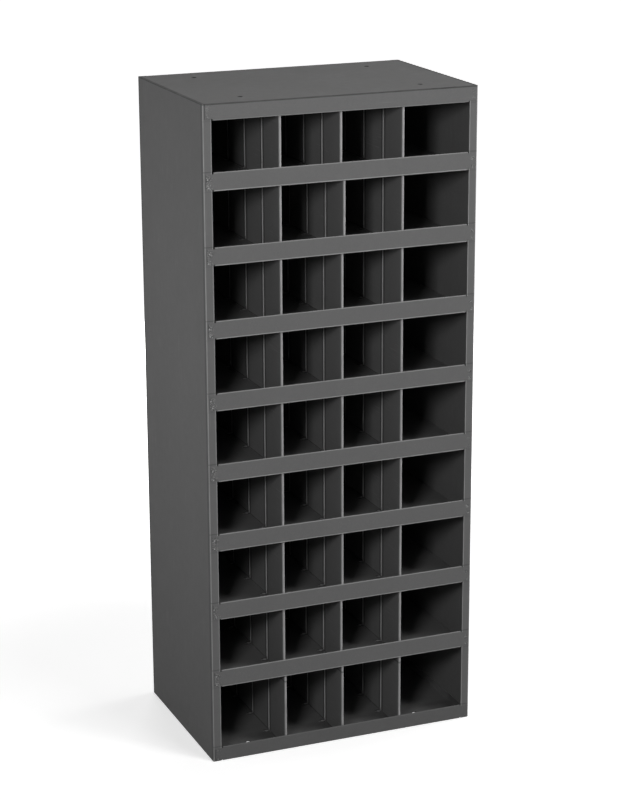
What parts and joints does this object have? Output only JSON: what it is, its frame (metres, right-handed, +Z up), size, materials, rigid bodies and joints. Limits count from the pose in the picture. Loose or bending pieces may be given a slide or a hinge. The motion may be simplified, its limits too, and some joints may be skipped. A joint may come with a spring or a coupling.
{
  "type": "open bin storage cabinet",
  "caption": "Tall open-front cabinet of folded sheet steel, with lipped shelves and upright dividers that form a grid of small bins.",
  "frame": {"origin": "on the ground, under the middle of the cabinet's width and depth", "axes": "+Z up, +Y from the open front to the back, +X to the right as seen from the front"},
  "size_m": [0.456, 0.3048, 1.0668],
  "materials": {
    "body_paint": "satin",
    "divider_paint": "satin"
  },
  "bodies": {
    "root": {"side_left": "body_paint", "side_right": "body_paint", "top_panel": "body_paint", "header": "body_paint", "base_panel": "body_paint", "back_panel": "body_paint", "shelf_1": "body_paint", "shelf_2": "body_paint", "shelf_3": "body_paint", "shelf_4": "body_paint", "shelf_5": "body_paint", "shelf_6": "body_paint", "shelf_7": "body_paint", "shelf_8": "body_paint", "divider_1_1": "divider_paint", "divider_1_2": "divider_paint", "divider_1_3": "divider_paint", "divider_2_1": "divider_paint", "divider_2_2": "divider_paint", "divider_2_3": "divider_paint", "divider_3_1": "divider_paint", "divider_3_2": "divider_paint", "divider_3_3": "divider_paint", "divider_4_1": "divider_paint", "divider_4_2": "divider_paint", "divider_4_3": "divider_paint", "divider_5_1": "divider_paint", "divider_5_2": "divider_paint", "divider_5_3": "divider_paint", "divider_6_1": "divider_paint", "divider_6_2": "divider_paint", "divider_6_3": "divider_paint", "divider_7_1": "divider_paint", "divider_7_2": "divider_paint", "divider_7_3": "divider_paint", "divider_8_1": "divider_paint", "divider_8_2": "divider_paint", "divider_8_3": "divider_paint", "divider_9_1": "divider_paint", "divider_9_2": "divider_paint", "divider_9_3": "divider_paint"}
  },
  "joints": []
}
